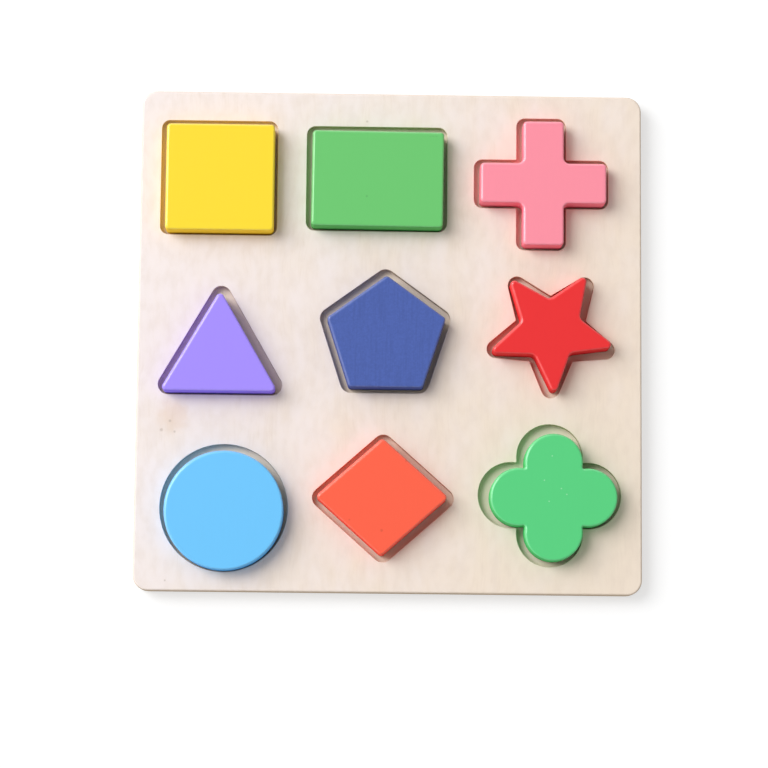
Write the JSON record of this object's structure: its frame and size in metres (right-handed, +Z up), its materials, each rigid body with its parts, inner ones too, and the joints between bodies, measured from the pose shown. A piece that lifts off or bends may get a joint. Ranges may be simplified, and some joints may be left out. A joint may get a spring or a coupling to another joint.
{
  "type": "shape board",
  "caption": "Square plywood shape board: a glued two-sheet tray with shaped windows, and a loose painted wooden block that lifts out of each window.",
  "frame": {"origin": "middle of the tray's underside", "axes": "+Z up out of the windows, +Y towards the row with the square, rectangle and cross, +X to the right seen from above with that row at the top"},
  "size_m": [0.15, 0.15, 0.0108],
  "materials": {
    "plywood": "bare sanded pale plywood",
    "yellow_paint": "satin opaque yellow paint on wood",
    "green_paint": "satin opaque green paint on wood",
    "pink_paint": "satin opaque pink paint on wood",
    "purple_paint": "satin opaque purple paint on wood",
    "dark_blue_paint": "satin opaque dark blue paint on wood",
    "red_paint": "satin opaque red paint on wood",
    "sky_blue_paint": "satin opaque sky blue paint on wood",
    "orange_paint": "satin opaque orange paint on wood",
    "mint_paint": "satin opaque mint green paint on wood"
  },
  "bodies": {
    "tray": {"base_plate": "plywood", "top_plate": "plywood"},
    "square": {"square_block": "yellow_paint"},
    "rectangle": {"rectangle_block": "green_paint"},
    "cross": {"cross_block": "pink_paint"},
    "triangle": {"triangle_block": "purple_paint"},
    "pentagon": {"pentagon_block": "dark_blue_paint"},
    "star": {"star_block": "red_paint"},
    "circle": {"circle_block": "sky_blue_paint"},
    "diamond": {"diamond_block": "orange_paint"},
    "quatrefoil": {"quatrefoil_block": "mint_paint"}
  },
  "joints": [
    {"name": "square_lift", "type": "slide", "parent": "tray", "child": "square", "axis": [0, 0, 1], "range_m": [0, 0.04]},
    {"name": "rectangle_lift", "type": "slide", "parent": "tray", "child": "rectangle", "axis": [0, 0, 1], "range_m": [0, 0.04]},
    {"name": "cross_lift", "type": "slide", "parent": "tray", "child": "cross", "axis": [0, 0, 1], "range_m": [0, 0.04]},
    {"name": "triangle_lift", "type": "slide", "parent": "tray", "child": "triangle", "axis": [0, 0, 1], "range_m": [0, 0.04]},
    {"name": "pentagon_lift", "type": "slide", "parent": "tray", "child": "pentagon", "axis": [0, 0, 1], "range_m": [0, 0.04]},
    {"name": "star_lift", "type": "slide", "parent": "tray", "child": "star", "axis": [0, 0, 1], "range_m": [0, 0.04]},
    {"name": "circle_lift", "type": "slide", "parent": "tray", "child": "circle", "axis": [0, 0, 1], "range_m": [0, 0.04]},
    {"name": "diamond_lift", "type": "slide", "parent": "tray", "child": "diamond", "axis": [0, 0, 1], "range_m": [0, 0.04]},
    {"name": "quatrefoil_lift", "type": "slide", "parent": "tray", "child": "quatrefoil", "axis": [0, 0, 1], "range_m": [0, 0.04]}
  ]
}
